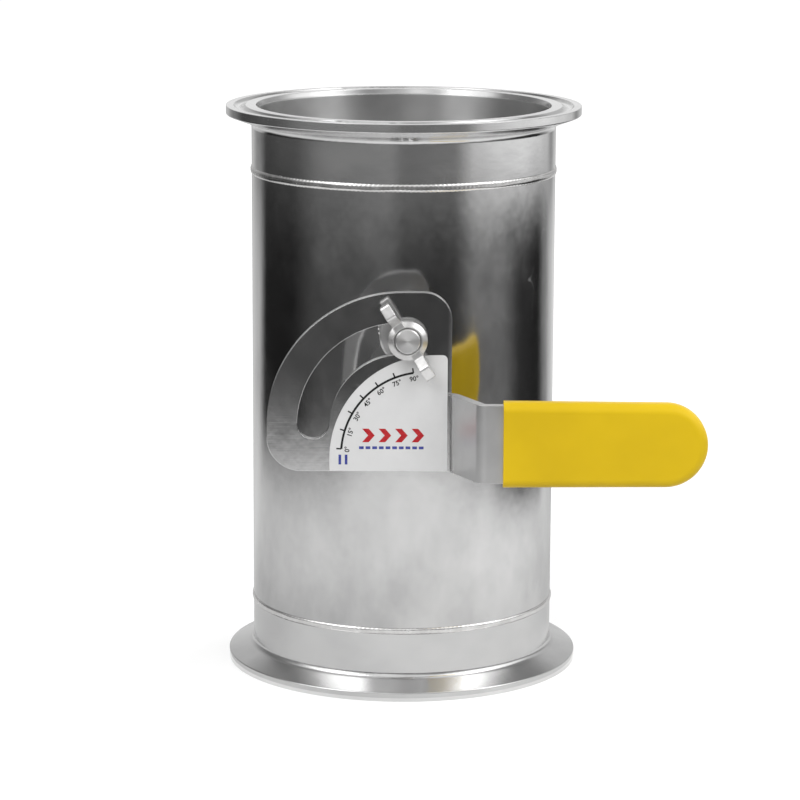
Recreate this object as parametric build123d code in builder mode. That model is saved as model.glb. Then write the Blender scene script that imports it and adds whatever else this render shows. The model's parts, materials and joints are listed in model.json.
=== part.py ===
"""Hand-operated duct damper with clamp ferrules, a quadrant lever and a wing-nut lock.

The duct runs along Z and stands on its lower ferrule, with the origin at the centre of that
ferrule's sealing face. The damper shaft runs along Y, and the lever side faces -Y.
The damper is drawn shut: the blade lies across the duct and the lever points along +X.
"""

import os
from math import asin, cos, degrees, radians, sin, sqrt, tan

from build123d import *

# Duct tube
overall_height = 190.0
tube_od = 102.0
tube_wall = 2.0

# Clamp ferrules
ferrule_length = 21.5
flange_width = 8.5
flange_rim = 2.85
flange_slope = 20.0
rim_round = 0.4
neck_fillet = 2.0
groove_offset = 4.0
groove_width = 4.0
groove_depth = 1.2
bore_lead_width = 0.5
bore_lead_height = 1.9

# Butt welds between the tube and the ferrules
weld_prep = 1.0
bead_width = 2.8
bead_crown = 0.5

# Shaft, bosses, bushes and seal rings
shaft_d = 12.0
spigot_width = 9.0
running_clearance = 0.05
boss_od = 24.0
boss_bore = 18.0
boss_lip = 2.0
boss_hole_clearance = 0.5
boss_edge = 1.0
front_boss_length = 16.0
rear_boss_length = 12.0
rear_cap_thickness = 3.5
rear_end_gap = 1.0
thrust_gap = 0.3
seal_clearance = 0.05

# Damper blade and its screws
blade_thickness = 2.0
blade_edge_gap = 0.7
blade_screw_d = 5.0
blade_screw_head_d = 9.0
blade_screw_head_height = 2.6
blade_screw_reach = 3.6
blade_screw_pitch = 48.0
screw_clearance = 0.1

# Quadrant lever, cut from one sheet and folded twice
plate_thickness = 3.0
plate_standoff = 18.5
slot_radius = 28.6
slot_width = 10.2
slot_web = 9.7
slot_overrun = 1.0
lever_travel = 90.0
stud_angle = 87.0
plate_right = 15.5
plate_drop = 14.5
plate_top_corner = 9.0
plate_heel_corner = 11.0
lever_width = 25.0
arm_fold = 15.9
lever_offset = 17.0
lever_run = 9.0
lever_bend_radius = 2.5
lever_reach = 94.5
fold_relief = 0.6
arm_overlap = 7.0

# Moulded grip on the lever
grip_bare_arm = 5.1
grip_edge_wall = 1.2
grip_face_wall = 2.4
grip_draft = 0.3
grip_round = 3.0
grip_clearance = 0.05

# Scale label on the quadrant
label_thickness = 0.25
label_margin = 0.2
label_sweep = 33.4
label_corner = 1.6

# Locking stud, its post and the wing nut
stud_d = 8.0
stud_depth = 11.0
stud_proud = 0.5
stud_chamfer = 0.4
post_od = 18.0
post_edge = 0.6
post_gap = 0.3
nut_gap = 0.15
nut_clearance = 0.1
nut_height = 4.6
hub_d = 12.6
hub_fall = 1.2
hub_land = 0.25
nut_mouth_chamfer = 0.4
wing_span = 27.8
wing_height = 8.2
wing_thickness = 3.3
wing_tip = 4.4
wing_heel = 3.6
wing_fall = 1.4
wing_foot = 0.9
wing_round = 1.0
wing_root_round = 1.4
wing_edge_round = 0.5
wing_angle = 123.0

# Tolerance for picking an edge by its radius
radius_match = 0.01

# Places worked out from the sizes above
tube_r = tube_od / 2
bore_r = tube_r - tube_wall
flange_r = tube_r + flange_width
tube_length = overall_height - 2 * ferrule_length
pivot_height = overall_height / 2
groove_r = tube_r + groove_offset
plate_back = tube_r + plate_standoff
plate_front = plate_back + plate_thickness
label_front = plate_front + label_thickness
nut_base = label_front + nut_gap
nut_top = nut_base + nut_height
front_boss_end = tube_r + front_boss_length
rear_boss_end = tube_r + rear_boss_length
seal_space = (boss_bore - shaft_d) / 2
seal_section_r = seal_space / 2 - seal_clearance
blade_r = bore_r - blade_edge_gap
slot_inner = slot_radius - slot_width / 2
slot_outer = slot_radius + slot_width / 2
plate_r = slot_outer + slot_web
slot_start = stud_angle - slot_overrun
slot_sweep = lever_travel + 2 * slot_overrun
stud_x = slot_radius * cos(radians(stud_angle))
stud_z = pivot_height + slot_radius * sin(radians(stud_angle))
lever_mid = plate_drop - lever_width / 2
lever_depth = plate_back + plate_thickness / 2 + lever_offset
fold_angle = degrees(asin(lever_offset / sqrt(lever_offset**2 + lever_run**2)))
bend_reach = lever_bend_radius * tan(radians(fold_angle / 2))
fold_start = arm_fold - bend_reach
fold_end = arm_fold + lever_run + bend_reach
grip_tip = lever_reach + grip_edge_wall
grip_mouth = fold_end + grip_bare_arm

lower_face = Plane.XZ
upper_face = Plane((0, 0, overall_height), x_dir=(1, 0, 0), z_dir=(0, 1, 0))


def front(depth, x=0.0, z=pivot_height):
    """Plane that faces the lever side, at a depth in front of the duct's axis; +Y in it is up."""
    return Plane((x, -depth, z), x_dir=(1, 0, 0), z_dir=(0, -1, 0))


def rear(depth, z=pivot_height):
    """Plane that faces away from the lever side, at a depth behind the duct's axis."""
    return Plane((0, depth, z), x_dir=(-1, 0, 0), z_dir=(0, 1, 0))


def save(part, name):
    """Labels a finished piece and writes it to its own file."""
    part.label = name
    export_step(part, f"parts/{name}.step")


def clamp_ferrule(face_plane):
    """Turned ferrule: flat sealing face with a gasket groove and a tapered lead into its bore,
    sloped flange back, weld neck."""
    slope_rise = flange_width * tan(radians(flange_slope))
    with BuildPart() as ferrule:
        with BuildSketch(face_plane):
            with BuildLine():
                Polyline(
                    (groove_r - groove_width / 2, 0),
                    (bore_r + bore_lead_width, 0),
                    (bore_r, bore_lead_height),
                    (bore_r, ferrule_length),
                    (tube_r - weld_prep, ferrule_length),
                    (tube_r, ferrule_length - weld_prep),
                    (tube_r, flange_rim + slope_rise),
                    (flange_r, flange_rim),
                    (flange_r, 0),
                    (groove_r + groove_width / 2, 0),
                )
                ThreePointArc(
                    (groove_r + groove_width / 2, 0),
                    (groove_r, groove_depth),
                    (groove_r - groove_width / 2, 0),
                )
            make_face()
        revolve(axis=Axis.Z)
        from_face = lambda e: abs(e.center().Z - face_plane.origin.Z)
        rings = ferrule.edges().filter_by(GeomType.CIRCLE)
        fillet(rings.group_by(SortBy.RADIUS)[-1].sort_by(from_face)[-1], rim_round)
        rings = ferrule.edges().filter_by(GeomType.CIRCLE)
        necks = rings.filter_by(lambda e: abs(e.radius - tube_r) < radius_match)
        fillet(necks.sort_by(from_face)[0], neck_fillet)
    return ferrule.part


def weld_bead(height):
    """Ring of weld metal that fills the prepared V and crowns over it."""
    half = bead_width / 2
    with BuildPart() as bead:
        with BuildSketch(Plane((0, 0, height), x_dir=(1, 0, 0), z_dir=(0, -1, 0))):
            with BuildLine():
                Polyline(
                    (tube_r, -half),
                    (tube_r, -weld_prep),
                    (tube_r - weld_prep, 0),
                    (tube_r, weld_prep),
                    (tube_r, half),
                )
                ThreePointArc((tube_r, half), (tube_r + bead_crown, 0), (tube_r, -half))
            make_face()
        revolve(axis=Axis.Z)
    return bead.part


def saddle_depth(outer_d, x=0.0):
    """Depth from the duct's axis at which a round boss has wholly met the tube."""
    return sqrt(tube_r**2 - (abs(x) + outer_d / 2) ** 2)


def shaft_boss(plane_at, end):
    """Sleeve welded to the tube, with an inner lip that holds the seal ring."""
    start = saddle_depth(boss_od)
    with BuildPart() as boss:
        with BuildSketch(plane_at(start)):
            Circle(boss_od / 2)
        extrude(amount=end - start)
        outer_rim = boss.edges().filter_by(GeomType.CIRCLE).sort_by(lambda e: abs(e.center().Y))[-1]
        chamfer(outer_rim, boss_edge)
        with BuildSketch(Plane.XY):
            Circle(tube_r)
        extrude(amount=overall_height, mode=Mode.SUBTRACT)
        with BuildSketch(plane_at(0)):
            Circle(shaft_d / 2 + boss_hole_clearance)
        extrude(amount=end, mode=Mode.SUBTRACT)
        with BuildSketch(plane_at(tube_r + boss_lip)):
            Circle(boss_bore / 2)
        extrude(amount=end, mode=Mode.SUBTRACT)
    return boss.part


def seal_ring(plane_at):
    """O-ring between the boss's lip and its bush, round the shaft."""
    depth = tube_r + boss_lip + seal_space / 2
    with BuildPart() as ring:
        with BuildSketch(Plane.YZ):
            with Locations((plane_at(depth).origin.Y, pivot_height + shaft_d / 2 + seal_space / 2)):
                Circle(seal_section_r)
        revolve(axis=Axis((0, 0, pivot_height), (0, 1, 0)))
    return ring.part


def tip_radius(wall):
    """Half of the lever's width with a wall of the grip added on each edge."""
    return lever_width / 2 + wall


os.makedirs("parts", exist_ok=True)

# Body tube, with its ends prepared for welding and a hole for the shaft on each side
with BuildPart() as body_tube:
    with BuildSketch(Plane.XY.offset(ferrule_length)):
        Circle(tube_r)
        Circle(bore_r, mode=Mode.SUBTRACT)
    extrude(amount=tube_length)
    chamfer(body_tube.edges().filter_by(GeomType.CIRCLE).group_by(SortBy.RADIUS)[-1], weld_prep)
    with BuildSketch(front(0)):
        Circle(shaft_d / 2 + boss_hole_clearance)
    extrude(amount=tube_od, both=True, mode=Mode.SUBTRACT)
save(body_tube.part, "body_tube")

save(clamp_ferrule(lower_face), "lower_ferrule")
save(clamp_ferrule(upper_face), "upper_ferrule")
save(weld_bead(ferrule_length), "lower_weld_bead")
save(weld_bead(overall_height - ferrule_length), "upper_weld_bead")

# Shaft bearings: a boss, a bush and a seal ring on each side
save(shaft_boss(front, front_boss_end), "front_shaft_boss")
save(shaft_boss(rear, rear_boss_end), "rear_shaft_boss")
save(seal_ring(front), "front_seal_ring")
save(seal_ring(rear), "rear_seal_ring")

bush_start = tube_r + boss_lip + seal_space

# Front bush, with a flange that takes the lever's thrust
with BuildPart() as front_bush:
    with BuildSketch(front(bush_start)):
        Circle(boss_bore / 2)
    extrude(amount=front_boss_end - bush_start)
    with BuildSketch(front(front_boss_end)):
        Circle(boss_od / 2 - boss_edge)
    extrude(amount=plate_back - thrust_gap - front_boss_end)
    with BuildSketch(front(bush_start)):
        Circle(shaft_d / 2 + running_clearance)
    extrude(amount=plate_back - bush_start, mode=Mode.SUBTRACT)
save(front_bush.part, "front_bush")

# Rear bush, plain
with BuildPart() as rear_bush:
    with BuildSketch(rear(bush_start)):
        Circle(boss_bore / 2)
        Circle(shaft_d / 2 + running_clearance, mode=Mode.SUBTRACT)
    extrude(amount=rear_boss_end - bush_start)
save(rear_bush.part, "rear_bush")

# Cap that closes the rear boss
with BuildPart() as rear_cap:
    with BuildSketch(rear(rear_boss_end)):
        Circle(boss_od / 2 - boss_edge)
    extrude(amount=rear_cap_thickness)
    fillet(rear_cap.edges().filter_by(GeomType.CIRCLE).sort_by(Axis.Y)[-1], boss_edge)
save(rear_cap.part, "rear_cap")

# Damper shaft: a flat across the bore seats the blade, and a square end drives it
shaft_end = rear_boss_end - rear_end_gap
with BuildPart() as damper_shaft:
    with BuildSketch(front(-shaft_end)):
        Circle(shaft_d / 2)
    extrude(amount=shaft_end + plate_back)
    with BuildSketch(front(plate_back)):
        Rectangle(spigot_width, spigot_width)
    extrude(amount=plate_thickness)
    with BuildSketch(Plane.XY.offset(pivot_height - blade_thickness / 2)):
        Rectangle(shaft_d, 2 * bore_r)
    extrude(amount=shaft_d, mode=Mode.SUBTRACT)
    with BuildSketch(Plane.XY.offset(pivot_height - blade_thickness / 2)):
        with GridLocations(0, blade_screw_pitch, 1, 2):
            Circle(blade_screw_d / 2 + screw_clearance)
    extrude(amount=-(blade_screw_reach + screw_clearance), mode=Mode.SUBTRACT)
save(damper_shaft.part, "damper_shaft")

# Damper blade
with BuildPart() as damper_blade:
    with BuildSketch(Plane.XY.offset(pivot_height - blade_thickness / 2)):
        Circle(blade_r)
        with GridLocations(0, blade_screw_pitch, 1, 2):
            Circle(blade_screw_d / 2 + screw_clearance, mode=Mode.SUBTRACT)
    extrude(amount=blade_thickness)
save(damper_blade.part, "damper_blade")

# Screws that hold the blade on the shaft
with BuildPart() as blade_screws:
    with BuildSketch(Plane.XY.offset(pivot_height + blade_thickness / 2)):
        with GridLocations(0, blade_screw_pitch, 1, 2):
            Circle(blade_screw_head_d / 2)
    extrude(amount=blade_screw_head_height)
    fillet(blade_screws.edges().group_by(Axis.Z)[-1], blade_screw_head_height / 2)
    with BuildSketch(Plane.XY.offset(pivot_height + blade_thickness / 2)):
        with GridLocations(0, blade_screw_pitch, 1, 2):
            Circle(blade_screw_d / 2)
    extrude(amount=-(blade_thickness + blade_screw_reach))
save(blade_screws.part, "blade_screws")

# Quadrant lever: the quadrant lies flat, and its arm is folded out and back again
plate_mid = plate_back + plate_thickness / 2
arm_top = lever_width - plate_drop
with BuildPart() as quadrant_lever:
    with BuildSketch(front(plate_back)) as quadrant:
        with BuildLine():
            corner = (0, plate_r)
            RadiusArc((-plate_r, 0), corner, plate_r)
            Polyline(
                corner,
                (plate_right, plate_r),
                (plate_right, arm_top + fold_relief),
                (fold_start, arm_top + fold_relief),
                (fold_start, -plate_drop),
                (-plate_r, -plate_drop),
                (-plate_r, 0),
            )
        make_face()
        corners = quadrant.vertices()
        fillet(corners.sort_by_distance((plate_right, plate_r))[0], plate_top_corner)
        fillet(quadrant.vertices().sort_by_distance((-plate_r, -plate_drop))[0], plate_heel_corner)
        with Locations((0, 0)):
            Rectangle(spigot_width, spigot_width, mode=Mode.SUBTRACT)
        with BuildLine():
            slot_line = CenterArc((0, 0), slot_radius, slot_start, slot_sweep)
        SlotArc(slot_line, slot_width, mode=Mode.SUBTRACT)
    extrude(amount=plate_thickness)
    with BuildSketch(Plane.XY.offset(pivot_height - plate_drop)):
        with BuildLine() as arm_line:
            FilletPolyline(
                (fold_start - arm_overlap, -plate_mid),
                (arm_fold, -plate_mid),
                (arm_fold + lever_run, -lever_depth),
                (lever_reach, -lever_depth),
                radius=lever_bend_radius,
            )
        trace(line_width=plate_thickness)
    extrude(amount=lever_width)
    arm_tip = quadrant_lever.edges().filter_by(Axis.Y).sort_by(Axis.X)[-2:]
    fillet(arm_tip, tip_radius(-grip_clearance))
save(quadrant_lever.part, "quadrant_lever")

# Moulded sleeve grip, closed at the tip and open where the arm enters
grip_half = plate_thickness / 2 + grip_face_wall
tip_start = lever_reach - lever_width / 2
with BuildPart() as lever_grip:
    with BuildSketch(front(lever_depth - grip_half, z=pivot_height - lever_mid)):
        with BuildLine():
            mouth_half = tip_radius(grip_edge_wall)
            tip_half = mouth_half - grip_draft
            Polyline(
                (tip_start, -tip_half),
                (grip_mouth, -mouth_half),
                (grip_mouth, mouth_half),
                (tip_start, tip_half),
            )
            ThreePointArc((tip_start, tip_half), (grip_tip, 0), (tip_start, -tip_half))
        make_face()
    extrude(amount=2 * grip_half)
    mouth_edges = lever_grip.edges().group_by(Axis.X)[0]
    long_edges = lever_grip.edges().filter_by(lambda e: abs(e.tangent_at(0.5).Y) < 0.5) - mouth_edges
    fillet(long_edges, grip_round)
    with BuildSketch(front(lever_depth - plate_thickness / 2 - grip_clearance, z=pivot_height - lever_mid)):
        with BuildLine():
            hollow_half = tip_radius(grip_clearance)
            Polyline(
                (tip_start, -hollow_half),
                (grip_mouth, -hollow_half),
                (grip_mouth, hollow_half),
                (tip_start, hollow_half),
            )
            ThreePointArc(
                (tip_start, hollow_half),
                (tip_start + hollow_half, 0),
                (tip_start, -hollow_half),
            )
        make_face()
    extrude(amount=plate_thickness + 2 * grip_clearance, mode=Mode.SUBTRACT)
save(lever_grip.part, "lever_grip")

# Scale label: a square with one corner swept to follow the slot
label_reach = slot_inner - label_margin
with BuildPart() as scale_label:
    with BuildSketch(front(plate_front)) as label_outline:
        label_right = fold_start - label_margin
        with BuildLine():
            Polyline(
                (-label_reach, -plate_drop + label_margin),
                (label_right, -plate_drop + label_margin),
                (label_right, label_reach),
                (-label_reach, label_reach),
                close=True,
            )
        make_face()
        sweep_corner = label_outline.vertices().sort_by_distance((-label_reach, label_reach))[0]
        fillet(sweep_corner, label_sweep)
        small_corner = label_outline.vertices().sort_by_distance((label_right, label_reach))[0]
        fillet(small_corner, label_corner)
    extrude(amount=label_thickness)
save(scale_label.part, "scale_label")

# Post welded to the tube, which backs the quadrant where the wing nut clamps it
post_end = plate_back - post_gap
post_start = saddle_depth(post_od, stud_x)
with BuildPart() as stud_post:
    with BuildSketch(front(post_start, stud_x, stud_z)):
        Circle(post_od / 2)
    extrude(amount=post_end - post_start)
    chamfer(stud_post.edges().filter_by(GeomType.CIRCLE).sort_by(Axis.Y)[0], post_edge)
    with BuildSketch(Plane.XY):
        Circle(tube_r)
    extrude(amount=overall_height, mode=Mode.SUBTRACT)
    with BuildSketch(front(post_end - stud_depth - screw_clearance, stud_x, stud_z)):
        Circle(stud_d / 2 + screw_clearance)
    extrude(amount=stud_depth + screw_clearance, mode=Mode.SUBTRACT)
save(stud_post.part, "stud_post")

# Locking stud
with BuildPart() as locking_stud:
    with BuildSketch(front(post_end - stud_depth, stud_x, stud_z)):
        Circle(stud_d / 2)
    extrude(amount=nut_top + stud_proud - (post_end - stud_depth))
    chamfer(locking_stud.edges().filter_by(GeomType.CIRCLE), stud_chamfer)
save(locking_stud.part, "locking_stud")

# Wing nut, cast in one piece: its plan, with rounded roots, is cut to its side outline, and the hub's
# face is coned on both sides of the wings
wing_line = (cos(radians(wing_angle)), 0, sin(radians(wing_angle)))
nut_plane = Plane((stud_x, -nut_base, stud_z), x_dir=wing_line, z_dir=(0, -1, 0))
side_plane = Plane((stud_x, -nut_base, stud_z), x_dir=wing_line, z_dir=(wing_line[2], 0, -wing_line[0]))
nut_axis = Axis((stud_x, -nut_base, stud_z), (0, -1, 0))
nut_bore_r = stud_d / 2 + nut_clearance
cone_reach = hub_d / 2 + wing_root_round
cone_start = nut_bore_r + nut_mouth_chamfer + hub_land
cone_drop = hub_fall * (cone_reach - cone_start) / (hub_d / 2 - cone_start)
with BuildPart() as hub_cone:
    with BuildSketch(side_plane):
        with BuildLine():
            Polyline(
                (cone_start, nut_height),
                (cone_reach, nut_height - cone_drop),
                (cone_reach, wing_height),
                (cone_start, wing_height),
                close=True,
            )
        make_face()
    revolve(axis=nut_axis)
    with BuildSketch(nut_plane):
        Rectangle(wing_span, wing_thickness)
    extrude(amount=wing_height, mode=Mode.SUBTRACT)
with BuildPart() as wing_nut:
    with BuildSketch(nut_plane) as nut_plan:
        Circle(hub_d / 2)
        Rectangle(wing_span, wing_thickness)
        fillet(nut_plan.vertices().group_by(lambda v: round(abs(v.X), 3))[0], wing_root_round)
        fillet(nut_plan.vertices().group_by(lambda v: round(abs(v.X), 3))[-1], wing_edge_round)
    extrude(amount=wing_height)
    with BuildSketch(side_plane) as nut_side:
        with BuildLine():
            Polyline(
                (0, 0),
                (hub_d / 2, 0),
                (hub_d / 2, wing_foot),
                (wing_span / 2, wing_heel),
                (wing_span / 2, wing_height - wing_fall),
                (wing_span / 2 - wing_tip, wing_height),
                (hub_d / 2, nut_height),
                (0, nut_height),
                close=True,
            )
        make_face()
        fillet(nut_side.vertices().group_by(Axis.X)[-1], wing_round)
        fillet(nut_side.vertices().group_by(Axis.Y)[-1], wing_round)
        mirror(about=Plane.YZ)
    extrude(amount=hub_d, both=True, mode=Mode.INTERSECT)
    add(hub_cone.part, mode=Mode.SUBTRACT)
    with BuildSketch(nut_plane):
        Circle(nut_bore_r)
    extrude(amount=wing_height, mode=Mode.SUBTRACT)
    bore_edges = wing_nut.edges().filter_by(GeomType.CIRCLE)
    bore_edges = bore_edges.filter_by(lambda e: abs(e.radius - nut_bore_r) < radius_match)
    chamfer(bore_edges.sort_by(Axis.Y)[0], nut_mouth_chamfer)
save(wing_nut.part, "wing_nut")
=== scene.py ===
"""Looks of the duct damper: its steel, weld, plastic and label finishes, the studio and the camera.

Everything is in metres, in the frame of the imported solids: the duct runs along Z and stands on the
floor at Z = 0, and the lever side faces -Y.
"""

import json
import random
from math import cos, exp, radians, sin, sqrt, tau

import bmesh
import bpy
from mathutils import Matrix, Vector


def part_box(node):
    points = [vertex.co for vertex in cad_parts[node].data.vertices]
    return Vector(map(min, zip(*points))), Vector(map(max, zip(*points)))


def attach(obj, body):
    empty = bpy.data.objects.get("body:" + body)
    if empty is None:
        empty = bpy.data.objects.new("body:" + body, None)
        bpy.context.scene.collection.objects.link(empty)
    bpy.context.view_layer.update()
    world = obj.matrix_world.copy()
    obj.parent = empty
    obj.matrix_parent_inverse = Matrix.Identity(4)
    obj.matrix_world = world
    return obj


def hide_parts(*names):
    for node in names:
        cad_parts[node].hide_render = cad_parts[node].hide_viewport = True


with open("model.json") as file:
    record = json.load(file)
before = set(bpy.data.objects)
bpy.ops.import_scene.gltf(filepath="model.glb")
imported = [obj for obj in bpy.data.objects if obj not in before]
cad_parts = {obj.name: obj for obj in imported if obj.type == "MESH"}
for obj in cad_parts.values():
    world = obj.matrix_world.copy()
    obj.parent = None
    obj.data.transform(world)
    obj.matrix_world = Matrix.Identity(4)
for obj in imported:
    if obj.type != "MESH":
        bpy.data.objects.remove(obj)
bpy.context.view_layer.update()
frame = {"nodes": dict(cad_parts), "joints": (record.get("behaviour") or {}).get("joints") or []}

MM = 0.001

# The bore, up to just over its radius, is rougher than the outside
BORE_EDGE = 49.06 * MM
BORE_EDGE_BLUR = 0.1 * MM
BORE_DULL = 0.18

# The tube is scratched where a hand reaches for the grip, from none to all between these places
HAND_SIDE = (10 * MM, 25 * MM)
HAND_HEIGHT = (85 * MM, 105 * MM)

# Between these places the lever goes from its polished plate to its satin arm
POLISH_END = (14 * MM, 17 * MM)

nodes = frame["nodes"]
joints = {joint["name"]: joint for joint in frame["joints"]}
pivot = Vector(joints["damper_turn"]["pos_m"])
stud_axis = Vector(joints["wing_nut_turn"]["pos_m"])

tube_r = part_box("body_tube")[1].x
boss_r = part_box("front_shaft_boss")[1].x
post_r = (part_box("stud_post")[1].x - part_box("stud_post")[0].x) / 2
label_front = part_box("scale_label")[0].y


class Shading:
    """Short calls that add nodes to a node tree and join them."""

    def __init__(self, tree):
        self.tree = tree

    def add(self, kind, inputs=None, **settings):
        """A new node with its settings, and its inputs set or joined."""
        node = self.tree.nodes.new("ShaderNode" + kind)
        for key, value in settings.items():
            setattr(node, key, value)
        for socket, value in (inputs or {}).items():
            self.join(value, node.inputs[socket])
        return node

    def join(self, value, socket):
        """Links an output to a socket, or sets the socket to a plain value."""
        if isinstance(value, bpy.types.NodeSocket):
            self.tree.links.new(value, socket)
        else:
            socket.default_value = value

    def span(self, value, low, high, to_low, to_high):
        """Maps a range of a value to another range, and clamps it."""
        inputs = {"Value": value, "From Min": low, "From Max": high, "To Min": to_low, "To Max": to_high}
        return self.add("MapRange", inputs).outputs["Result"]

    def math(self, operation, first, second=0.0):
        return self.add("Math", {0: first, 1: second}, operation=operation).outputs[0]

    def mix(self, share, dark, light):
        """A colour between two, by a share from 0 to 1."""
        node = self.add("Mix", data_type="RGBA")
        self.join(share, node.inputs["Factor"])
        self.join(dark, node.inputs[6])
        self.join(light, node.inputs[7])
        return node.outputs[2]

    def seen(self):
        """1 for camera, glossy and transmission rays, 0 for the others."""
        path = self.add("LightPath").outputs
        mirrored = self.math("MAXIMUM", path["Is Glossy Ray"], path["Is Transmission Ray"])
        return self.math("MAXIMUM", path["Is Camera Ray"], mirrored)


class Finish(Shading):
    """A procedural material with one principled shader."""

    def __init__(self, name, **constants):
        self.material = bpy.data.materials.new(name)
        self.material.use_nodes = True
        super().__init__(self.material.node_tree)
        self.shader = self.tree.nodes["Principled BSDF"]
        for socket, value in constants.items():
            self.shader.inputs[socket.replace("_", " ")].default_value = value
        self.place = self.add("TexCoord").outputs["Object"]

    def set(self, socket, value):
        self.join(value, self.shader.inputs[socket])

    def noise(self, per_metre, detail=3.0, rough=0.5, offset=(0, 0, 0)):
        """Noise over the object; per_metre is its rate along X, Y and Z."""
        mapped = self.add("Mapping", {"Vector": self.place, "Location": offset, "Scale": per_metre})
        inputs = {"Vector": mapped.outputs[0], "Scale": 1.0, "Detail": detail, "Roughness": rough}
        return self.add("TexNoise", inputs).outputs["Fac"]

    def shade(self, value, low, dark, high, light):
        """A colour between dark and light as the value goes from low to high."""
        return self.mix(self.span(value, low, high, 0.0, 1.0), dark, light)

    def radius(self):
        """Distance from the duct's axis."""
        flat = self.add("VectorMath", {0: self.place, 1: (1, 1, 0)}, operation="MULTIPLY")
        return self.add("VectorMath", {0: flat.outputs[0]}, operation="LENGTH").outputs["Value"]

    def along(self, axis, start, end):
        """0 before start and 1 after end, along X, Y or Z."""
        return self.span(self.add("SeparateXYZ", {0: self.place}).outputs[axis], start, end, 0.0, 1.0)

    def facing(self, axis):
        """How far the surface faces along X, Y or Z, from -1 to 1."""
        return self.add("SeparateXYZ", {0: self.add("TexCoord").outputs["Normal"]}).outputs[axis]

    def bore_dull(self):
        """The roughness that the bore has over the outside: 0 outside the bore's edge."""
        return self.span(self.radius(), BORE_EDGE, BORE_EDGE + BORE_EDGE_BLUR, BORE_DULL, 0.0)

    def handled(self):
        """1 on the side and the height where a hand reaches for the grip, 0 elsewhere."""
        return self.math("MULTIPLY", self.along("X", *HAND_SIDE), self.along("Z", *HAND_HEIGHT))

    def hairlines(self, per_metre, width, cover, offset, fade=0.05):
        """Thin curved scratches: 1 on a line and 0 off it, where a second noise is high."""
        path = self.noise(per_metre, detail=1, rough=0.4, offset=offset)
        away = self.math("ABSOLUTE", self.math("SUBTRACT", path, 0.5))
        line = self.span(away, 0.0, width, 1.0, 0.0)
        patch = self.noise((60, 60, 60), detail=2, offset=offset[::-1])
        return self.math("MULTIPLY", line, self.span(patch, cover, cover + fade, 0.0, 1.0))

    def bumps(self, *heights, edge=0.0):
        """Bumps one on another, each a height and its depth in metres, over edges softened by a radius."""
        normal = None
        if edge:
            normal = self.add("Bevel", {"Radius": edge}, samples=6).outputs[0]
        for height, depth in heights:
            bump = self.add("Bump", {"Strength": 1.0, "Distance": depth, "Height": height})
            if normal:
                self.join(normal, bump.inputs["Normal"])
            normal = bump.outputs[0]
        self.set("Normal", normal)


def grey(level, warm=0.0):
    """A near-neutral colour; warm tips it towards red."""
    return (level * (1 + warm), level, level * (1 - warm), 1.0)


def polished_steel():
    """Polished stainless tube: soft mottling, faint lines round the duct, fine scratches, a duller bore."""
    steel = Finish("polished_steel", Metallic=1.0)
    clouds = steel.noise((34, 34, 20), detail=4, rough=0.55)
    smears = steel.noise((75, 75, 48), detail=4, rough=0.6, offset=(3, 1, 2))
    lines = steel.noise((30, 30, 2600), detail=2, rough=0.6)
    hairlines = steel.hairlines((90, 90, 60), width=0.004, cover=0.52, offset=(7, 5, 1))
    scratches = steel.math("MULTIPLY", hairlines, steel.handled())
    mixed = steel.math("ADD", steel.math("MULTIPLY", clouds, 0.6), steel.math("MULTIPLY", smears, 0.4))
    steel.set("Base Color", steel.shade(mixed, 0.38, grey(0.47), 0.62, grey(0.62, 0.003)))
    dull = steel.span(mixed, 0.35, 0.68, 0.085, 0.17)
    scored = steel.math("ADD", dull, steel.math("MULTIPLY", scratches, 0.14))
    bore = steel.bore_dull()
    steel.set("Roughness", steel.math("ADD", scored, bore))
    steel.bumps((clouds, 0.00016), (smears, 0.00001), (lines, 0.0000012), edge=0.35 * MM)
    return steel.material


def ferrule_steel():
    """Turned clamp ferrule: tool marks round the duct that draw the light into soft rays on its faces."""
    steel = Finish("ferrule_steel", Metallic=1.0, Anisotropic=0.92, Anisotropic_Rotation=0.25)
    clouds = steel.noise((40, 40, 60), detail=4, rough=0.55, offset=(5, 8, 3))
    marks = steel.noise((25, 25, 3200), detail=2, rough=0.6, offset=(1, 6, 4))
    steel.set("Base Color", steel.shade(clouds, 0.34, grey(0.60), 0.66, grey(0.68, 0.003)))
    dull = steel.span(clouds, 0.32, 0.68, 0.10, 0.16)
    faced = steel.math("ADD", dull, steel.span(steel.facing("Z"), 0.82, 0.92, 0.0, 0.06))
    bore = steel.bore_dull()
    steel.set("Roughness", steel.math("ADD", faced, bore))
    steel.set("Tangent", steel.add("Tangent", direction_type="RADIAL", axis="Z").outputs[0])
    steel.bumps((clouds, 0.00010), (marks, 0.0000012), edge=0.3 * MM)
    return steel.material


def turned_steel():
    """Lathe-turned steel: bright, with tool marks round its axis."""
    steel = Finish("turned_steel", Metallic=1.0, Anisotropic=0.75, Anisotropic_Rotation=0.25)
    marks = steel.noise((1500, 260, 1500), detail=2, rough=0.6)
    clouds = steel.noise((120, 120, 120), detail=3)
    steel.set("Base Color", steel.shade(clouds, 0.35, grey(0.60), 0.65, grey(0.72, 0.006)))
    steel.set("Roughness", steel.span(clouds, 0.3, 0.7, 0.34, 0.46))
    steel.set("Tangent", steel.add("Tangent", direction_type="RADIAL", axis="Y").outputs[0])
    steel.bumps((marks, 0.000004), edge=0.2 * MM)
    return steel.material


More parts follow.
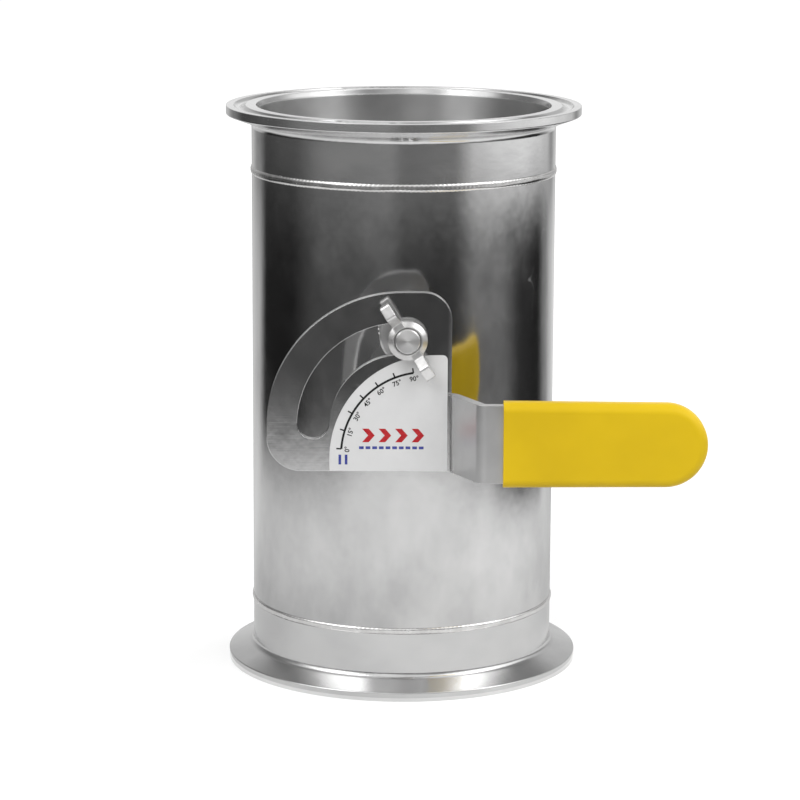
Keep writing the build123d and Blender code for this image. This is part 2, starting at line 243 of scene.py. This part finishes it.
def sheet_steel():
    """Cold-rolled stainless sheet of the lever, satin, with rolling lines along its arm."""
    steel = Finish("sheet_steel", Metallic=1.0)
    clouds = steel.noise((60, 60, 45), detail=4, rough=0.55, offset=(2, 4, 6))
    lines = steel.noise((45, 900, 1500), detail=3, rough=0.6)
    scratches = steel.noise((26, 26, 420), detail=2, rough=0.4, offset=(9, 2, 5))
    steel.set("Base Color", steel.shade(clouds, 0.35, grey(0.54), 0.68, grey(0.62, 0.003)))
    dull = steel.span(clouds, 0.32, 0.7, 0.11, 0.16)
    scored = steel.math("ADD", dull, steel.span(scratches, 0.70, 0.76, 0.0, 0.04))
    arm = steel.math("MULTIPLY", steel.along("X", *POLISH_END), 0.18)
    back = steel.span(steel.facing("Y"), 0.6, 0.9, 0.0, 0.3)
    sheared = steel.span(steel.facing("Z"), 0.5, 0.8, 0.0, 0.36)
    unpolished = steel.math("MAXIMUM", arm, steel.math("MAXIMUM", back, sheared))
    steel.set("Roughness", steel.math("ADD", scored, unpolished))
    steel.bumps((clouds, 0.00008), (lines, 0.0000025), edge=0.3 * MM)
    return steel.material


def weld_steel():
    """Weld metal: bright ripples, straw tints where the heat was."""
    steel = Finish("weld_steel", Metallic=1.0)
    clouds = steel.noise((220, 220, 220), detail=4, rough=0.6)
    grain = steel.noise((2400, 2400, 2400), detail=2)
    steel.set("Base Color", steel.shade(clouds, 0.36, grey(0.64, 0.012), 0.66, grey(0.78, 0.005)))
    steel.set("Roughness", steel.span(clouds, 0.3, 0.7, 0.17, 0.29))
    steel.bumps((clouds, 0.000012), (grain, 0.000001))
    return steel.material


def cast_steel():
    """Investment-cast wing nut: satin skin with a fine grain, lighter on its sharp edges and darker in its
    hollows.
    """
    steel = Finish("cast_steel", Metallic=1.0)
    clouds = steel.noise((420, 420, 420), detail=4, rough=0.6)
    grain = steel.noise((2600, 2600, 2600), detail=2)
    # Base colour follows the mesh's pointiness: lighter on sharp edges, darker in hollows
    convexity = steel.add("NewGeometry").outputs["Pointiness"]
    tone = steel.math("ADD", steel.math("MULTIPLY", clouds, 0.5), steel.math("MULTIPLY", convexity, 0.5))
    steel.set("Base Color", steel.shade(tone, 0.40, grey(0.56, 0.012), 0.60, grey(0.72, 0.006)))
    steel.set("Roughness", steel.span(clouds, 0.3, 0.7, 0.26, 0.40))
    steel.bumps((clouds, 0.00006), (grain, 0.00001), edge=0.5 * MM)
    return steel.material


def yellow_plastic():
    """Dipped vinyl grip: even yellow, a soft gloss and a slight orange-peel skin."""
    vinyl = Finish("yellow_plastic", Specular_IOR_Level=0.26, Coat_Weight=0.05, Coat_Roughness=0.25)
    clouds = vinyl.noise((38, 38, 38), detail=3, rough=0.5)
    peel = vinyl.noise((700, 700, 700), detail=2)
    deep = (0.70, 0.47, 0.0012, 1.0)
    light = (0.78, 0.53, 0.0025, 1.0)
    vinyl.set("Base Color", vinyl.shade(clouds, 0.32, deep, 0.70, light))
    vinyl.set("Roughness", vinyl.span(peel, 0.3, 0.7, 0.34, 0.46))
    vinyl.bumps((clouds, 0.00010), (peel, 0.000012), edge=0.25 * MM)
    return vinyl.material


def label_film():
    """White vinyl film with a satin face."""
    film = Finish("label_film", Specular_IOR_Level=0.35)
    clouds = film.noise((90, 90, 90), detail=4, rough=0.6)
    grain = film.noise((1800, 1800, 1800), detail=2)
    film.set("Base Color", film.shade(clouds, 0.3, grey(0.70), 0.7, grey(0.745)))
    film.set("Roughness", film.span(grain, 0.3, 0.7, 0.38, 0.5))
    film.bumps((clouds, 0.00002), (grain, 0.000002))
    return film.material


def ink(name, dense, thin):
    """Screen-printed ink, a little uneven where it lies thin."""
    print_ink = Finish(name, Specular_IOR_Level=0.3)
    clouds = print_ink.noise((700, 700, 700), detail=3, rough=0.6)
    print_ink.set("Base Color", print_ink.shade(clouds, 0.35, dense, 0.75, thin))
    print_ink.set("Roughness", print_ink.span(clouds, 0.3, 0.7, 0.42, 0.56))
    print_ink.bumps((clouds, 0.000004))
    return print_ink.material


def bush_polymer():
    """Pale moulded bearing polymer."""
    polymer = Finish("bush_polymer", Specular_IOR_Level=0.4)
    clouds = polymer.noise((160, 160, 160), detail=3)
    deep = (0.60, 0.57, 0.50, 1.0)
    light = (0.70, 0.67, 0.60, 1.0)
    polymer.set("Base Color", polymer.shade(clouds, 0.3, deep, 0.7, light))
    polymer.set("Roughness", polymer.span(clouds, 0.3, 0.7, 0.42, 0.55))
    polymer.bumps((clouds, 0.00002), edge=0.2 * MM)
    return polymer.material


def seal_rubber():
    """Black nitrile of the seal rings."""
    rubber = Finish("seal_rubber", Specular_IOR_Level=0.35)
    clouds = rubber.noise((500, 500, 500), detail=3)
    rubber.set("Base Color", rubber.shade(clouds, 0.3, grey(0.012), 0.7, grey(0.026)))
    rubber.set("Roughness", rubber.span(clouds, 0.3, 0.7, 0.5, 0.68))
    rubber.bumps((clouds, 0.00001))
    return rubber.material


finishes = {
    "polished_steel": polished_steel(),
    "ferrule_steel": ferrule_steel(),
    "turned_steel": turned_steel(),
    "sheet_steel": sheet_steel(),
    "weld_steel": weld_steel(),
    "cast_steel": cast_steel(),
    "yellow_plastic": yellow_plastic(),
    "label_film": label_film(),
    "bush_polymer": bush_polymer(),
    "seal_rubber": seal_rubber(),
}
for name, node in nodes.items():
    for place, slot in enumerate(node.material_slots):
        finish = "ferrule_steel" if name.endswith("ferrule") else slot.name.split(".")[0]
        node.data.materials[place] = finishes[finish]


def new_piece(name, mesh_data, body, material):
    """A finished mesh as a piece that rides on a body and wears a material."""
    piece = bpy.data.objects.new(name, mesh_data)
    bpy.context.scene.collection.objects.link(piece)
    mesh_data.materials.clear()
    mesh_data.materials.append(material)
    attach(piece, body)
    return piece


def ring_mesh(name, stations):
    """A closed tube through closed loops of points, one loop a station, joined end to end."""
    shell = bmesh.new()
    loops = [[shell.verts.new(point) for point in station] for station in stations]
    for here, there in zip(loops, loops[1:] + loops[:1]):
        for a, b, c, d in zip(here, here[1:] + here[:1], there[1:] + there[:1], there):
            shell.faces.new((a, b, c, d))
    bmesh.ops.recalc_face_normals(shell, faces=shell.faces)
    mesh_data = bpy.data.meshes.new(name)
    shell.to_mesh(mesh_data)
    shell.free()
    mesh_data.polygons.foreach_set("use_smooth", [True] * len(mesh_data.polygons))
    return mesh_data


# Weld beads, with the ripples that each pool of metal left; the middle of a ripple lags by an angle
RIPPLE_PITCH = 1.5 * MM
RIPPLE_HEIGHT = 0.03 * MM
RIPPLE_LAG = 2.2
BEAD_STEPS = 900
BEAD_PROFILE = 16
BEAD_ROOT = 0.5 * MM

# Shares of a bead's half width: its ripples' spread, its drift, the dip along its middle and its root
RIPPLE_SPREAD = 0.04
BEAD_DRIFT = 0.18
BEAD_DIP_WIDTH = 0.3
BEAD_ROOT_WIDTH = 0.6

# Shares of a bead's crown: how full it is, how much it swells and how deep its middle dips
BEAD_FILL = 0.86
BEAD_SWELL = 0.12
BEAD_DIP = 0.05

# Waves round the duct that make up a wander, and the range of their sizes
WANDER_LOBES = (3, 7, 13, 23)
WANDER_SHARE = (0.2, 0.5)


def wander(angle, seed):
    """A slow, smooth wander round the duct, between about -1 and 1."""
    draw = random.Random(seed)
    total = 0.0
    for lobes in WANDER_LOBES:
        total += sin(lobes * angle + draw.uniform(0, tau)) * draw.uniform(*WANDER_SHARE)
    return total


def weld_ring(name, node, seed, spread):
    """The butt weld of one ferrule, in the place of its plain bead and over a share of its width."""
    low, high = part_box(node)
    half = spread * (high.z - low.z) / 2
    middle = (high.z + low.z) / 2
    crown = high.x - tube_r
    ripples = round(tau * tube_r / RIPPLE_PITCH)
    stations = []
    for step in range(BEAD_STEPS):
        angle = tau * step / BEAD_STEPS
        drift = BEAD_DRIFT * half * wander(angle, seed)
        swell = 1 + BEAD_SWELL * wander(angle, seed + 1)
        edge = half * (1 + RIPPLE_SPREAD * sin(ripples * angle))
        station = []
        for k in range(BEAD_PROFILE + 1):
            across = 2 * k / BEAD_PROFILE - 1
            inward = 1 - across**2
            ripple = RIPPLE_HEIGHT * inward * sin(ripples * angle + RIPPLE_LAG * inward)
            crest = (1 - abs(across) ** 3) * (1 - BEAD_DIP * exp(-((across / BEAD_DIP_WIDTH) ** 2)))
            rise = (crown - RIPPLE_HEIGHT) * swell * BEAD_FILL * crest + ripple
            height = middle + across * edge + drift * inward
            radius = min(tube_r + max(rise, 0.0), high.x)
            station.append((radius * cos(angle), radius * sin(angle), height))
        for across in (BEAD_ROOT_WIDTH, -BEAD_ROOT_WIDTH):
            radius = tube_r - BEAD_ROOT
            station.append((radius * cos(angle), radius * sin(angle), middle + across * half))
        stations.append(station)
    piece = new_piece(name, ring_mesh(name, stations), "housing", finishes["weld_steel"])
    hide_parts(node)


weld_ring("upper_weld", "upper_weld_bead", seed=11, spread=0.94)
weld_ring("lower_weld", "lower_weld_bead", seed=29, spread=0.76)

# Fillet welds where the bosses and the stud's post meet the tube
FILLET_LEG = 0.8 * MM
FILLET_STEPS = 260
FILLET_PROFILE = 10
FILLET_PITCH = 1.4 * MM
FILLET_RIPPLE = 0.07


def fillet_weld(name, centre_x, centre_z, radius, side):
    """A rippled bead along the saddle line between the tube and a round boss; side is -1 for the front."""
    ripples = round(tau * radius / FILLET_PITCH)
    stations = []
    for step in range(FILLET_STEPS):
        angle = tau * step / FILLET_STEPS
        outward = Vector((cos(angle), 0, sin(angle)))
        x = centre_x + radius * cos(angle)
        foot = Vector((x, side * sqrt(tube_r**2 - x**2), centre_z + radius * sin(angle)))
        size = FILLET_LEG * (1 + FILLET_RIPPLE * sin(ripples * angle))
        station = []
        for k in range(FILLET_PROFILE):
            turn = tau * k / FILLET_PROFILE
            station.append(foot + size * (outward * cos(turn) + Vector((0, side, 0)) * sin(turn)))
        stations.append(station)
    new_piece(name, ring_mesh(name, stations), "housing", finishes["weld_steel"])


fillet_weld("front_boss_weld", pivot.x, pivot.z, boss_r, side=-1)
fillet_weld("rear_boss_weld", pivot.x, pivot.z, boss_r, side=1)
fillet_weld("post_weld", stud_axis.x, stud_axis.z, post_r, side=-1)

# Print on the scale label: places are millimetres from the shaft's axis, X to the right and Z up
INK_THICKNESS = 0.03 * MM
SCALE_CENTRE = (7.3, -9.0)
SCALE_RADIUS = 26.9
SCALE_LINE = 0.68
SCALE_START = 176.0
SCALE_END = 98.5
SCALE_ARC_STEPS = 64
SCALE_STEPS = 6
SCALE_STEP_DEGREES = 15
TICK_LENGTH = 1.25
TICK_WIDTH = 0.46
NUMBER_HEIGHT = 1.55
NUMBER_INSET = 0.7
NUMBER_WEIGHT = 0.04
FIGURE_SHARE = 0.72

black_ink = ink("black_ink", grey(0.006), grey(0.02))
red_ink = ink("red_ink", (0.42, 0.006, 0.014, 1), (0.56, 0.03, 0.035, 1))
blue_ink = ink("blue_ink", (0.035, 0.045, 0.26, 1), (0.09, 0.11, 0.38, 1))


def on_label(x, z, proud=0.0):
    """A point of the label's face, given in millimetres from the shaft's axis."""
    return Vector((pivot.x + x * MM, label_front - proud, pivot.z + z * MM))


def print_mesh(name, outlines, material):
    """Flat prints: each outline is a list of points in millimetres, raised by the ink's thickness."""
    shell = bmesh.new()
    for outline in outlines:
        back = [shell.verts.new(on_label(x, z)) for x, z in outline]
        face = [shell.verts.new(on_label(x, z, INK_THICKNESS)) for x, z in outline]
        shell.faces.new(face)
        shell.faces.new(back[::-1])
        for k, vertex in enumerate(back):
            shell.faces.new((vertex, back[k - 1], face[k - 1], face[k]))
    bmesh.ops.recalc_face_normals(shell, faces=shell.faces)
    bmesh.ops.triangulate(shell, faces=[face for face in shell.faces if len(face.verts) > 4])
    mesh_data = bpy.data.meshes.new(name)
    shell.to_mesh(mesh_data)
    shell.free()
    new_piece(name, mesh_data, "damper", material)


def polar(radius, angle):
    """A point of the label at a radius and an angle, anticlockwise from +X, about the scale's centre."""
    return SCALE_CENTRE[0] + radius * cos(radians(angle)), SCALE_CENTRE[1] + radius * sin(radians(angle))


def arc_band(radius, width, start, end, steps):
    """The outline of a line of some width along an arc of the scale."""
    angles = [start + (end - start) * k / steps for k in range(steps + 1)]
    outer = [polar(radius + width / 2, angle) for angle in angles]
    inner = [polar(radius - width / 2, angle) for angle in reversed(angles)]
    return outer + inner


def bar(x0, z0, x1, z1, width):
    """The outline of a straight line of some width."""
    along = Vector((x1 - x0, z1 - z0)).normalized() * width / 2
    return [
        (x0 - along.y, z0 + along.x),
        (x1 - along.y, z1 + along.x),
        (x1 + along.y, z1 - along.x),
        (x0 + along.y, z0 - along.x),
    ]


scale_angles = [SCALE_START + (SCALE_END - SCALE_START) * k / SCALE_STEPS for k in range(SCALE_STEPS + 1)]
scale_outlines = [arc_band(SCALE_RADIUS, SCALE_LINE, SCALE_START, SCALE_END, SCALE_ARC_STEPS)]
for angle in scale_angles:
    root = polar(SCALE_RADIUS, angle)
    tip = polar(SCALE_RADIUS + SCALE_LINE / 2 + TICK_LENGTH, angle)
    scale_outlines.append(bar(*root, *tip, TICK_WIDTH))
print_mesh("scale_line", scale_outlines, black_ink)


def number_mesh(text, angle):
    """One number of the scale, along the arc with its top towards it."""
    curve = bpy.data.curves.new("number_curve", "FONT")
    curve.body = text
    curve.size = NUMBER_HEIGHT * MM / FIGURE_SHARE
    curve.align_x = "CENTER"
    curve.extrude = INK_THICKNESS / 2
    curve.offset = NUMBER_WEIGHT * MM
    curve.resolution_u = 3
    carrier = bpy.data.objects.new("number_carrier", curve)
    bpy.context.scene.collection.objects.link(carrier)
    shaped = carrier.evaluated_get(bpy.context.evaluated_depsgraph_get())
    mesh_data = bpy.data.meshes.new_from_object(shaped)
    bpy.data.objects.remove(carrier)
    base = polar(SCALE_RADIUS - SCALE_LINE / 2 - NUMBER_INSET - NUMBER_HEIGHT, angle)
    up = Vector((cos(radians(angle)), 0, sin(radians(angle))))
    right = Vector((sin(radians(angle)), 0, -cos(radians(angle))))
    front = Vector((0, -1, 0))
    place = on_label(*base, INK_THICKNESS / 2)
    turn = Matrix((right, up, front)).transposed().to_4x4()
    mesh_data.transform(Matrix.Translation(place) @ turn)
    return mesh_data


def joined(name, meshes):
    """Several meshes as one."""
    shell = bmesh.new()
    for mesh_data in meshes:
        shell.from_mesh(mesh_data)
        bpy.data.meshes.remove(mesh_data)
    bmesh.ops.remove_doubles(shell, verts=shell.verts, dist=0.001 * MM)
    whole = bpy.data.meshes.new(name)
    shell.to_mesh(whole)
    shell.free()
    return whole


numbers = [number_mesh(f"{SCALE_STEP_DEGREES * k}°", angle) for k, angle in enumerate(scale_angles)]
new_piece("scale_numbers", joined("scale_numbers", numbers), "damper", black_ink)

# Plain marks on the label: red chevrons, a row of blue dashes, and two blue bars at the open end
CHEVRONS = 4
CHEVRON_PLACE = (-12.9, -4.9)
CHEVRON_STEP = 5.25
CHEVRON_HEIGHT = 4.4
CHEVRON_NOSE = 1.9
CHEVRON_THICK = 2.1
DASHES = 10
DASH_PLACE = (-13.9, -6.7)
DASH_STEP = 2.12
DASH_LENGTH = 1.5
DASH_WIDTH = 0.9
OPEN_BARS = (-20.0, -18.0)
OPEN_BAR_FOOT = -12.2
OPEN_BAR_TOP = -9.0
OPEN_BAR_WIDTH = 0.85


def chevron(left, base):
    """The outline of an arrow head that points to the right."""
    middle = base + CHEVRON_HEIGHT / 2
    top = base + CHEVRON_HEIGHT
    return [
        (left, base),
        (left + CHEVRON_THICK, base),
        (left + CHEVRON_THICK + CHEVRON_NOSE, middle),
        (left + CHEVRON_THICK, top),
        (left, top),
        (left + CHEVRON_NOSE, middle),
    ]


def dash(left, height):
    return bar(left, height, left + DASH_LENGTH, height, DASH_WIDTH)


chevrons = [chevron(CHEVRON_PLACE[0] + CHEVRON_STEP * k, CHEVRON_PLACE[1]) for k in range(CHEVRONS)]
print_mesh("label_chevrons", chevrons, red_ink)
dashes = [dash(DASH_PLACE[0] + DASH_STEP * k, DASH_PLACE[1]) for k in range(DASHES)]
open_bars = [bar(x, OPEN_BAR_FOOT, x, OPEN_BAR_TOP, OPEN_BAR_WIDTH) for x in OPEN_BARS]
print_mesh("label_blue_marks", dashes + open_bars, blue_ink)

# Studio: a white world, and a white floor that keeps the shadow and glows more far off than near
FLOOR_RADIUS = 6.0
FLOOR_SIDES = 64
FLOOR_COLOUR = 0.55
GLOW_NEAR = 0.52
GLOW_NEAR_END = 0.3
GLOW_FAR = 0.72
GLOW_FAR_START = 1.3
AMBIENT = 0.55


def white_world():
    world = bpy.data.worlds.new("studio")
    world.use_nodes = True
    bpy.context.scene.world = world
    world.node_tree.nodes.clear()
    shading = Shading(world.node_tree)
    backdrop = shading.add("Background", {"Color": (1, 1, 1, 1), "Strength": 1.0})
    ambient = shading.add("Background", {"Color": (1, 1, 1, 1), "Strength": AMBIENT})
    mixed = shading.add("MixShader", {0: shading.seen(), 1: ambient.outputs[0], 2: backdrop.outputs[0]})
    shading.add("OutputWorld", {"Surface": mixed.outputs[0]})


def staged(name, mesh_data, material):
    """A thing of the studio, not part of the object."""
    thing = bpy.data.objects.new(name, mesh_data)
    bpy.context.scene.collection.objects.link(thing)
    mesh_data.materials.append(material)
    return thing


def stage_material(name):
    material = bpy.data.materials.new(name)
    material.use_nodes = True
    material.node_tree.nodes.clear()
    return material, Shading(material.node_tree)


def white_floor():
    """White paper: it glows as white to what sees it, more where the lamps reach it less."""
    material, shading = stage_material("floor_white")
    place = shading.add("TexCoord").outputs["Object"]
    distance = shading.add("VectorMath", {0: place}, operation="LENGTH").outputs["Value"]
    level = shading.span(distance, GLOW_NEAR_END, GLOW_FAR_START, GLOW_NEAR, GLOW_FAR)
    strength = shading.math("MULTIPLY", shading.seen(), level)
    glow = shading.add("Emission", {"Color": (1, 1, 1, 1), "Strength": strength})
    matt = shading.add("BsdfDiffuse", {"Color": grey(FLOOR_COLOUR)})
    both = shading.add("AddShader", {0: glow.outputs[0], 1: matt.outputs[0]})
    shading.add("OutputMaterial", {"Surface": both.outputs[0]})
    shell = bmesh.new()
    bmesh.ops.create_circle(shell, cap_ends=True, segments=FLOOR_SIDES, radius=FLOOR_RADIUS)
    mesh_data = bpy.data.meshes.new("floor")
    shell.to_mesh(mesh_data)
    shell.free()
    staged("floor", mesh_data, material)


white_world()
white_floor()


def smooth(low, high, value):
    share = min(max((value - low) / (high - low), 0.0), 1.0)
    return share * share * (3 - 2 * share)


def zone_tones(zones, place):
    """Tones between the zones of a table, whose rows are a place and the tones there."""
    for here, there in zip(zones, zones[1:]):
        if here[0] <= place <= there[0]:
            share = smooth(here[0], there[0], place)
            return [a + (b - a) * share for a, b in zip(here[1:], there[1:])]
    return zones[-1][1:]


# Card material for painted reflections: it glows with the card's tone, and is clear where the cover is low
def card_material():
    material, shading = stage_material("reflection_card_glow")
    tone = shading.add("VertexColor", layer_name="tone").outputs
    glow = shading.add("Emission", {"Color": tone["Color"]})
    clear = shading.add("BsdfTransparent")
    mixed = shading.add("MixShader", {0: tone["Alpha"], 1: clear.outputs[0], 2: glow.outputs[0]})
    shading.add("OutputMaterial", {"Surface": mixed.outputs[0]})
    return material


CARD_BEARINGS = 180
reflection_card_glow = card_material()


def cards(name, rows, place, tone):
    """Glowing cards round the object, which only the metal sees, so their tones are painted reflections:
    rows of points at all bearings, each with a tone and a cover. Bearings count from the front, + to the
    right."""
    points, colours, faces = [], [], []
    for row in rows:
        for k in range(CARD_BEARINGS):
            bearing = 360 * k / CARD_BEARINGS - 180
            points.append(place(row, radians(bearing)))
            level, cover = tone(row, bearing)
            colours.append((level, level, level, cover))
    for row in range(len(rows) - 1):
        for k in range(CARD_BEARINGS):
            a = row * CARD_BEARINGS + k
            b = row * CARD_BEARINGS + (k + 1) % CARD_BEARINGS
            faces.append((a, b, b + CARD_BEARINGS, a + CARD_BEARINGS))
    mesh_data = bpy.data.meshes.new(name)
    mesh_data.from_pydata(points, [], faces)
    layer = mesh_data.color_attributes.new("tone", "FLOAT_COLOR", "POINT")
    for k, colour in enumerate(colours):
        layer.data[k].color = colour
    thing = staged(name, mesh_data, reflection_card_glow)
    thing.visible_camera = False
    thing.visible_diffuse = False
    thing.visible_shadow = False
    thing.visible_transmission = False


# Cards on the table: a thin painted shade close in, a deeper painted contact shadow at the foot of the
# object, and full cover further out. The rings are distances from the duct's axis, closest together where
# the tones change most
TABLE_HEIGHT = 0.001
TABLE_FAR_FULL = 1.50
# Painted shade: its dark tone close in, and the painted contact shadow's extra cover, full up to one
# distance and gone by another
TABLE_PAINTED_SHADE_TONE = 0.10
TABLE_PAINTED_CONTACT_SHADOW = 0.16
TABLE_PAINTED_SHADOW_FULL = 0.10
TABLE_PAINTED_SHADOW_END = 0.22
TABLE_RINGS = (
    *(0.06, 0.09, 0.12, 0.16, 0.20, 0.25, 0.28, 0.30, 0.32, 0.34, 0.36, 0.38, 0.40, 0.43, 0.46),
    *(0.50, 0.54, 0.75, 0.85, 0.95, 1.05, 1.15, 1.25, 1.35, 1.45, 1.50, 2.00, 4.40),
)
TABLE_ZONES = (
    # bearing, cover of the painted shade close in, distances where the card begins and is full, its near
    # tone, distance where its far tone begins, its far tone
    (-180, 0.42, 0.26, 0.54, 0.50, 0.82, 0.40),
    (-160, 0.40, 0.26, 0.54, 0.70, 0.82, 0.55),
    (-140, 0.26, 0.26, 0.54, 0.60, 0.82, 0.22),
    (-124, 0.30, 0.26, 0.46, 0.015, 0.90, 0.08),
    (-92, 0.26, 0.26, 0.46, 0.015, 0.90, 0.12),
    (-56, 0.14, 0.27, 0.48, 0.095, 0.82, 0.31),
    (-12, 0.10, 0.37, 0.54, 0.12, 0.82, 0.37),
    (2, 0.08, 0.37, 0.54, 0.04, 0.82, 0.26),
    (36, 0.06, 0.28, 0.54, 0.05, 0.95, 0.33),
    (56, 0.06, 0.27, 0.50, 0.20, 0.90, 1.02),
    (78, 0.06, 0.25, 0.36, 0.17, 0.92, 1.28),
    (98, 0.10, 0.25, 0.33, 0.04, 0.95, 1.40),
    (120, 0.24, 0.25, 0.34, 0.02, 1.00, 1.10),
    (134, 0.28, 0.27, 0.44, 0.32, 1.00, 0.80),
    (146, 0.38, 0.26, 0.54, 0.68, 0.95, 0.30),
    (160, 0.62, 0.26, 0.54, 0.84, 0.90, 0.60),
    (180, 0.42, 0.26, 0.54, 0.50, 0.82, 0.40),
)


def table_place(distance, bearing):
    return distance * sin(bearing), -distance * cos(bearing), TABLE_HEIGHT


# Tone and cover of the table cards: painted shade close in, a painted contact shadow at the object's foot,
# the card's own tone further out
def table_tone(distance, bearing):
    shade, begins, full, near, far_begins, far = zone_tones(TABLE_ZONES, bearing)
    tone = near + (far - near) * smooth(far_begins, TABLE_FAR_FULL, distance)
    # Painted contact shadow: the cover of painted shade grows towards the foot of the object
    shade += TABLE_PAINTED_CONTACT_SHADOW * (1 - smooth(TABLE_PAINTED_SHADOW_FULL, TABLE_PAINTED_SHADOW_END, distance))
    card = smooth(begins, full, distance)
    painted_shade_cover = shade * (1 - card)
    cover = painted_shade_cover + card
    return (painted_shade_cover * TABLE_PAINTED_SHADE_TONE + card * tone) / cover, cover


cards("table_cards", TABLE_RINGS, table_place, table_tone)

# Cards overhead, glowing past white where they paint the reflections of bright lights in the metal: a
# horizon, a low part, a band above and a ring over that, each between two elevations in degrees, and a
# plain top
SKY_RADIUS = 4.5
SKY_RINGS = (0, 4, 8, 12, 16, 21, 26, 31, 36, 42, 48, 54, 58, 62, 66, 72, 78, 84, 89.5)
SKY_SPANS = ((0, 8), (16, 26), (36, 54), (64, 78))
SKY_TOP = 90
SKY_TOP_TONE = 0.85
# Tones over 1 glow brighter than white: painted reflections of soft lights, strongest in the band to either
# side
SKY_ZONES = (
    # bearing, tones of the horizon, low down, the band and the ring
    (-180, 0.90, 1.10, 0.60, 0.80),
    (-163, 0.60, 0.60, 0.30, 0.70),
    (-122, 0.25, 0.20, 0.22, 0.50),
    (-92, 0.20, 0.30, 0.80, 0.60),
    (-70, 0.18, 1.30, 2.80, 0.95),
    (-48, 0.17, 1.80, 4.20, 0.95),
    (-26, 0.16, 0.90, 1.05, 0.90),
    (-12, 0.16, 1.15, 1.05, 0.90),
    (6, 0.15, 0.60, 1.00, 0.40),
    (28, 0.15, 0.40, 1.10, 0.45),
    (70, 0.20, 1.80, 4.20, 1.10),
    (95, 0.30, 1.40, 1.60, 1.10),
    (122, 0.35, 0.70, 0.30, 0.60),
    (163, 0.60, 0.60, 0.25, 0.60),
    (180, 0.90, 1.10, 0.60, 0.80),
)


def sky_place(elevation, bearing):
    flat = SKY_RADIUS * cos(radians(elevation))
    return flat * sin(bearing), -flat * cos(bearing), SKY_RADIUS * sin(radians(elevation))


def sky_tone(elevation, bearing):
    tones = zone_tones(SKY_ZONES, bearing)
    steps = [(edge, tone) for span, tone in zip(SKY_SPANS, tones) for edge in span]
    steps.append((SKY_TOP, SKY_TOP_TONE))
    return zone_tones(steps, elevation)[0], 1.0


cards("sky_cards", SKY_RINGS, sky_place, sky_tone)


def soft_box(name, place, aim, size, watts):
    """A square soft light at a place, turned to a point."""
    data = bpy.data.lights.new(name, "AREA")
    data.shape = "SQUARE"
    data.size = size
    data.energy = watts
    lamp = bpy.data.objects.new(name, data)
    lamp.location = place
    lamp.rotation_euler = (Vector(aim) - Vector(place)).to_track_quat("-Z", "Y").to_euler()
    lamp.visible_glossy = False
    bpy.context.scene.collection.objects.link(lamp)


soft_box("key_light", place=(-0.7, -0.9, 1.3), aim=(0, 0, 0.1), size=1.0, watts=12.5)
soft_box("fill_light", place=(0.9, -0.8, 0.9), aim=(0, 0, 0.1), size=0.9, watts=6.0)
soft_box("back_light", place=(1.1, 0.8, 0.7), aim=(0.06, 0, 0.1), size=0.9, watts=12.0)

# Camera at the photograph's place
LENS = 142.25
SENSOR = 36.0
CAMERA_PLACE = (-0.00089, -1.05626, 0.30541)
CAMERA_PITCH = 11.582
CAMERA_ROLL = 0.233

camera_data = bpy.data.cameras.new("camera")
camera_data.lens = LENS
camera_data.sensor_width = SENSOR
camera = bpy.data.objects.new("camera", camera_data)
pitch = Matrix.Rotation(radians(90 - CAMERA_PITCH), 4, "X")
roll = Matrix.Rotation(radians(CAMERA_ROLL), 4, "Z")
camera.matrix_world = Matrix.Translation(CAMERA_PLACE) @ pitch @ roll
bpy.context.scene.collection.objects.link(camera)
bpy.context.scene.camera = camera

bpy.context.scene.view_settings.view_transform = "Standard"
